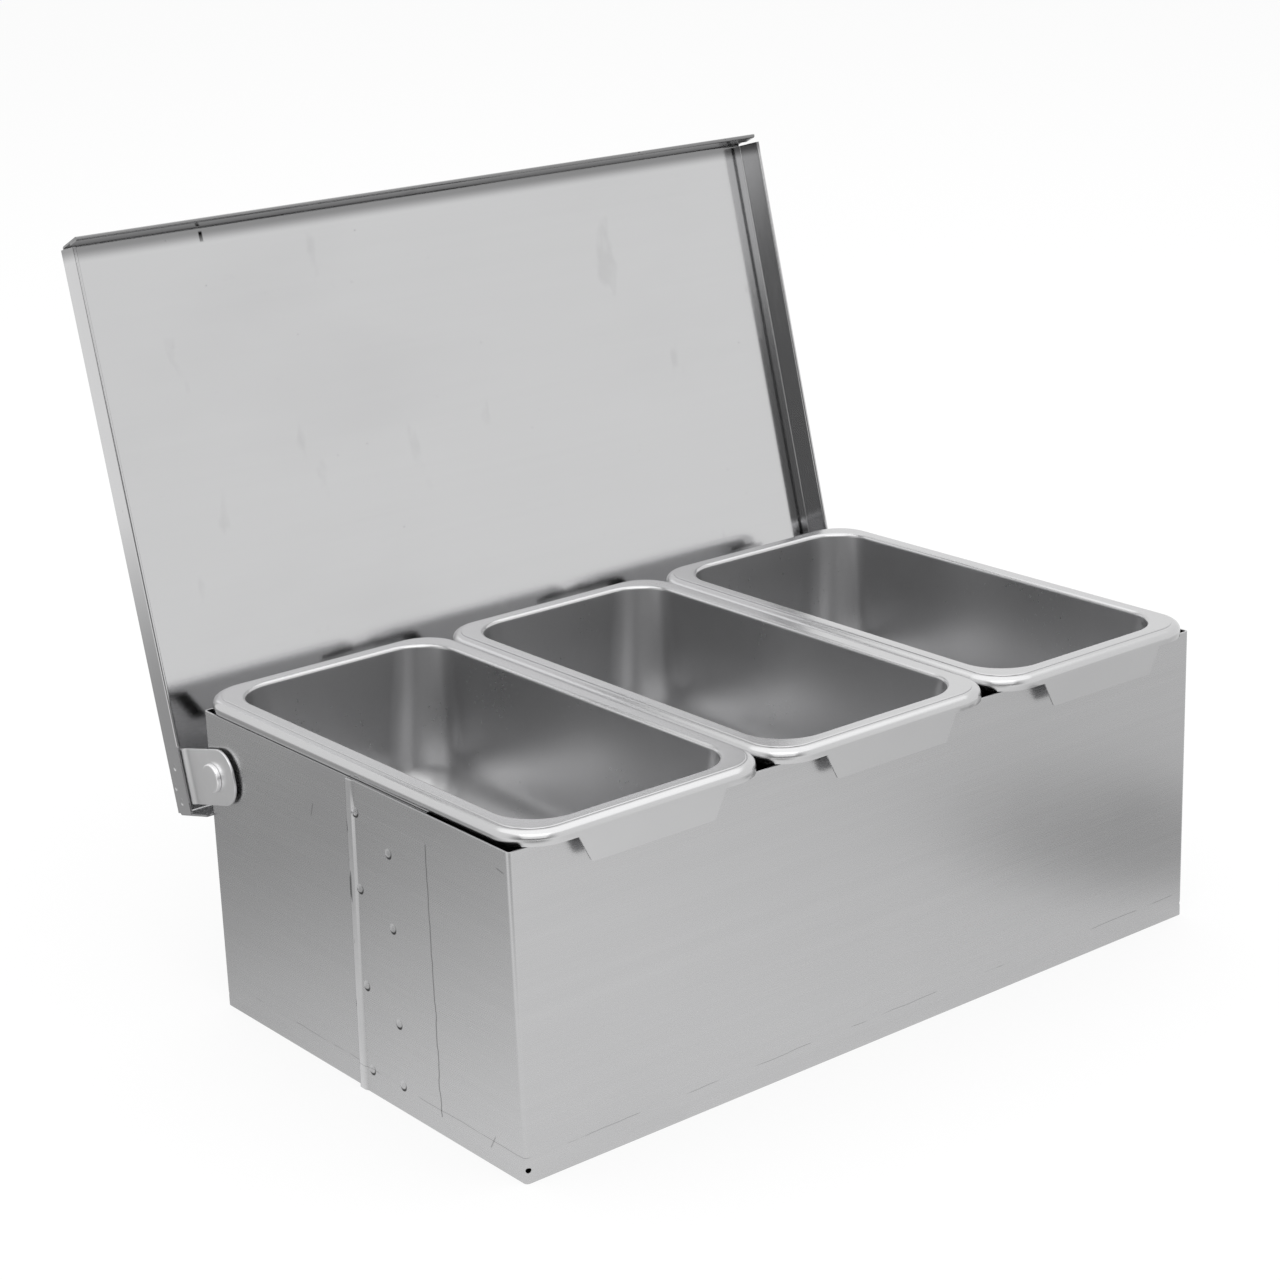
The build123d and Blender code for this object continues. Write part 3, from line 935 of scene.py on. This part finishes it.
bracket = {
    "plate": 1.0 * mm,
    "innerX": 165.2 * mm,
    "halfWidth": 10.8 * mm,
    "reach": 14.5 * mm,
    "corner": 9.5 * mm,
    "cornerSegments": 14,
    "start": 1.6 * mm,
    "joggleStart": 11.5 * mm,
    "joggleEnd": 15.5 * mm,
    "bend": 0.8 * mm,
    "bendSegments": 4,
    "tabGap": 0.1 * mm,
    "hole": 3.06 * mm,
    "holeReach": 5.0 * mm,
    "edge": 0.25 * mm,
    "look": {"colour": (0.82, 0.82, 0.825), "roughness": 0.32, "lines": (60, 1500, 200), "lineTone": 0.02,
             "broadTone": 0.02, "patchSize": 60, "patchTone": 0.03, "lineRough": 0.03, "patchRough": 0.05,
             "lineBump": 0.002 * mm, "waveBump": 0.01 * mm},
}
hingeSteel = steelMaterial("hingeSteel", bracket["look"])


def buildBracket(name, node, side):
    outerX = bracket["innerX"] + bracket["plate"]
    flangeX = lidHalfLength - lid["sheet"] - bracket["tabGap"]
    stops = [(outerX, hingePoint.z - bracket["reach"]), (outerX, lidTop - bracket["joggleEnd"])]
    for drop in (bracket["joggleStart"], bracket["start"]):
        stops.append((flangeX + sideFlare * drop, lidTop - drop))
    bm = bmesh.new()
    x, z = stops[0]
    foot = [bm.verts.new((x, hingePoint.y + way * bracket["halfWidth"], z)) for way in (-1, 1)]
    edges = [bm.edges.new(foot)]
    for (x0, z0), (x1, z1) in zip(stops, stops[1:]):
        edges = growStrip(bm, edges, (x1 - x0, 0, z1 - z0))
    roundOff(bm, foot, "VERTICES", bracket["corner"], bracket["cornerSegments"])
    bends = [e for e in bm.edges if len(e.link_faces) == 2]
    roundOff(bm, bends, "EDGES", bracket["bend"], bracket["bendSegments"])
    faceWay(bm, max(bm.faces, key=lambda f: f.calc_area()), (1, 0, 0))
    tools = bmesh.new()
    addRod(tools, (bracket["innerX"], hingePoint.y, hingePoint.z), (1, 0, 0), bracket["hole"],
           2 * bracket["holeReach"])
    bm = cutAway(bm, tools, bracket["plate"], bracket["edge"])
    swingOpen(bm)
    if side < 0:
        bmesh.ops.scale(bm, vec=(-1, 1, 1), verts=list(bm.verts))
        bmesh.ops.reverse_faces(bm, faces=list(bm.faces))
    finishPiece(bm, name, "lid", node, [hingeSteel])


rivet = {
    "headGap": 0.1 * mm,
    "headHeight": 1.7 * mm,
    "headRadius": 5.5 * mm,
    "headEdge": 0.6 * mm,
    "shank": 3.0 * mm,
    "wallShank": 2.95 * mm,
    "shoulder": 4.8 * mm,
    "tailRadius": 4.2 * mm,
    "tailHeight": 1.2 * mm,
    "tailEdge": 0.5 * mm,
    "edgeSteps": 5,
    "turnSteps": 64,
}


def buildRivet(name, node, side):
    headFace = bracket["innerX"] + bracket["plate"] + rivet["headGap"]
    headEnd = headFace + rivet["headHeight"]
    shoulderFace = bracket["innerX"] - rivet["headGap"]
    wallInner = halfLength - wall["sheet"]
    tailEnd = wallInner - rivet["tailHeight"]
    turns = turnsBetween(0, math.pi / 2, rivet["edgeSteps"])
    profile = [(headEnd, 0.0)]
    profile += [(headEnd - rivet["headEdge"] * (1 - math.cos(turn)),
                 rivet["headRadius"] - rivet["headEdge"] * (1 - math.sin(turn))) for turn in turns]
    profile += [(headFace, rivet["headRadius"]), (headFace, rivet["shank"]), (shoulderFace, rivet["shank"]),
                (shoulderFace, rivet["shoulder"]), (halfLength, rivet["shoulder"]),
                (halfLength, rivet["wallShank"]), (wallInner, rivet["wallShank"]),
                (wallInner, rivet["tailRadius"])]
    profile += [(tailEnd + rivet["tailEdge"] * (1 - math.sin(turn)),
                 rivet["tailRadius"] - rivet["tailEdge"] * (1 - math.cos(turn))) for turn in turns]
    profile.append((tailEnd, 0.0))
    bm = bmesh.new()
    spinProfile(bm, [(side * x, hingePoint.y + r, hingePoint.z) for x, r in profile],
                (0, hingePoint.y, hingePoint.z), (1, 0, 0), rivet["turnSteps"])
    finishPiece(bm, name, "box", node, [hingeSteel])


for place, side in (("left", -1), ("right", 1)):
    buildBracket(place + "Bracket", "hinge_bracket_" + place, side)
    buildRivet(place + "Rivet", "hinge_rivet_" + place, side)
print("hinges built")


# The base plate keeps its CAD mesh

basePlate = frame["nodes"]["base_plate"]
basePlate.data.materials.clear()
basePlate.data.materials.append(wallSteel)
print("base plate finished")


# Floor, light and camera

studio = {
    "floorSize": 40.0,
    "floorDrop": 0.05 * mm,
    "floorWhite": 0.9,
    "floorGlow": 0.8,
    # middle, inner and outer radius and strength of each painted shade patch on the floor, which only the
    # steel's reflections see
    "floorShadePatches": [((-0.33, 0.33), 0.08, 0.5, 0.75), ((0.40, -0.30), 0.05, 0.6, 0.34),
                  ((0.21, -0.18), 0.03, 0.1, 0.4), ((-0.42, -0.50), 0.14, 0.36, 0.8)],
    "worldLight": 1.0,
    "dimSide": (-0.62, -0.78, 0.2),
    "dimLight": 0.2,
    "dimInner": 14.0,
    "dimOuter": 60.0,
    "lampAim": (0, 0, 0.1),
    "keyPlace": (-1.0, -1.4, 1.6),
    "keySize": 2.2,
    "keyPower": 14.0,
    "topPlace": (0.1, 0.0, 2.0),
    "topSize": 3.4,
    "topPower": 19.0,
}


def buildFloor():
    bm = bmesh.new()
    addRectangle(bm, (0, 0, 0), studio["floorSize"] / 2, studio["floorSize"] / 2)
    floor = addObject("floor", bm)
    floor.location.z = -studio["floorDrop"]
    paper = bpy.data.materials.new("paleFloor")
    paper.use_nodes = True
    tree = paper.node_tree
    tree.nodes.remove(tree.nodes["Principled BSDF"])
    matt = tree.nodes.new("ShaderNodeBsdfDiffuse")
    matt.inputs["Color"].default_value = (studio["floorWhite"],) * 3 + (1,)
    path = tree.nodes.new("ShaderNodeLightPath")
    toCamera = path.outputs["Is Camera Ray"]
    seen = mathNode(tree, "MAXIMUM", toCamera, path.outputs["Is Glossy Ray"])
    # the sheet is white to the eye; the steel sees it darker in painted shade patches, standing in for where
    # the lamps don't reach it
    place = tree.nodes.new("ShaderNodeTexCoord").outputs["Object"]
    shadePatches = [multiply(tree, roundPatch(tree, place, (x, y, 0), inner, outer, "SMOOTHSTEP"), strength)
            for (x, y), inner, outer, strength in studio["floorShadePatches"]]
    paintedShade = multiply(tree, addUp(tree, shadePatches), subtract(tree, 1.0, toCamera))
    glow = tree.nodes.new("ShaderNodeEmission")
    tree.links.new(subtract(tree, 1.0, paintedShade), glow.inputs["Strength"])
    blend = tree.nodes.new("ShaderNodeMixShader")
    tree.links.new(multiply(tree, seen, studio["floorGlow"]), blend.inputs[0])
    tree.links.new(matt.outputs[0], blend.inputs[1])
    tree.links.new(glow.outputs[0], blend.inputs[2])
    tree.links.new(blend.outputs[0], tree.nodes["Material Output"].inputs["Surface"])
    floor.data.materials.append(paper)


def buildWorld():
    # the room is white but for the dim side that the camera stands on
    world = bpy.data.worlds.new("studio")
    bpy.context.scene.world = world
    world.use_nodes = True
    tree = world.node_tree
    sky = tree.nodes["Background"]
    sky.inputs["Color"].default_value = (1, 1, 1, 1)
    toward = dotWith(tree, tree.nodes.new("ShaderNodeTexCoord").outputs["Generated"],
                     Vector(studio["dimSide"]).normalized())
    light = mapRange(tree, toward, studio["worldLight"], studio["dimLight"],
                     math.cos(math.radians(studio["dimOuter"])), math.cos(math.radians(studio["dimInner"])),
                     "SMOOTHSTEP")
    toCamera = tree.nodes.new("ShaderNodeLightPath").outputs["Is Camera Ray"]
    tree.links.new(mathNode(tree, "MAXIMUM", light, toCamera), sky.inputs["Strength"])


def addSoftbox(name, place, size, power):
    lamp = bpy.data.lights.new(name, "AREA")
    lamp.shape = "RECTANGLE"
    lamp.size = lamp.size_y = size
    lamp.energy = power
    box = bpy.data.objects.new(name, lamp)
    box.location = place
    box.rotation_euler = (Vector(studio["lampAim"]) - Vector(place)).to_track_quat("-Z", "Y").to_euler()
    bpy.context.scene.collection.objects.link(box)


view = {
    "focal": 2859.54,        # in pixels of a frame of 1280
    "frame": 1280,
    "sensor": 36,
    "azimuth": -38.4486,
    "elevation": 17.9337,
    "roll": -2.0054,
    "place": (-0.66027, -0.79090, 0.46560),
    "clipStart": 0.01,
    "clipEnd": 100,
}


def addCamera():
    azimuth, elevation, roll = (math.radians(view[key]) for key in ("azimuth", "elevation", "roll"))
    back = Vector((math.sin(azimuth) * math.cos(elevation), -math.cos(azimuth) * math.cos(elevation),
                   math.sin(elevation)))
    right = Vector((math.cos(azimuth), math.sin(azimuth), 0))
    up = back.cross(right)
    turnedRight = right * math.cos(roll) + up * math.sin(roll)
    turnedUp = up * math.cos(roll) - right * math.sin(roll)
    eye = bpy.data.cameras.new("photoView")
    eye.sensor_width = view["sensor"]
    eye.lens = view["focal"] / view["frame"] * view["sensor"]
    eye.clip_start = view["clipStart"]
    eye.clip_end = view["clipEnd"]
    camera = bpy.data.objects.new("photoView", eye)
    turned = Matrix((turnedRight, turnedUp, back)).transposed().to_4x4()
    camera.matrix_world = Matrix.Translation(view["place"]) @ turned
    bpy.context.scene.collection.objects.link(camera)
    bpy.context.scene.camera = camera


buildFloor()
buildWorld()
addSoftbox("keyLight", studio["keyPlace"], studio["keySize"], studio["keyPower"])
addSoftbox("topLight", studio["topPlace"], studio["topSize"], studio["topPower"])
addCamera()
bpy.context.scene.view_settings.view_transform = "Standard"
print("floor, light and camera placed")
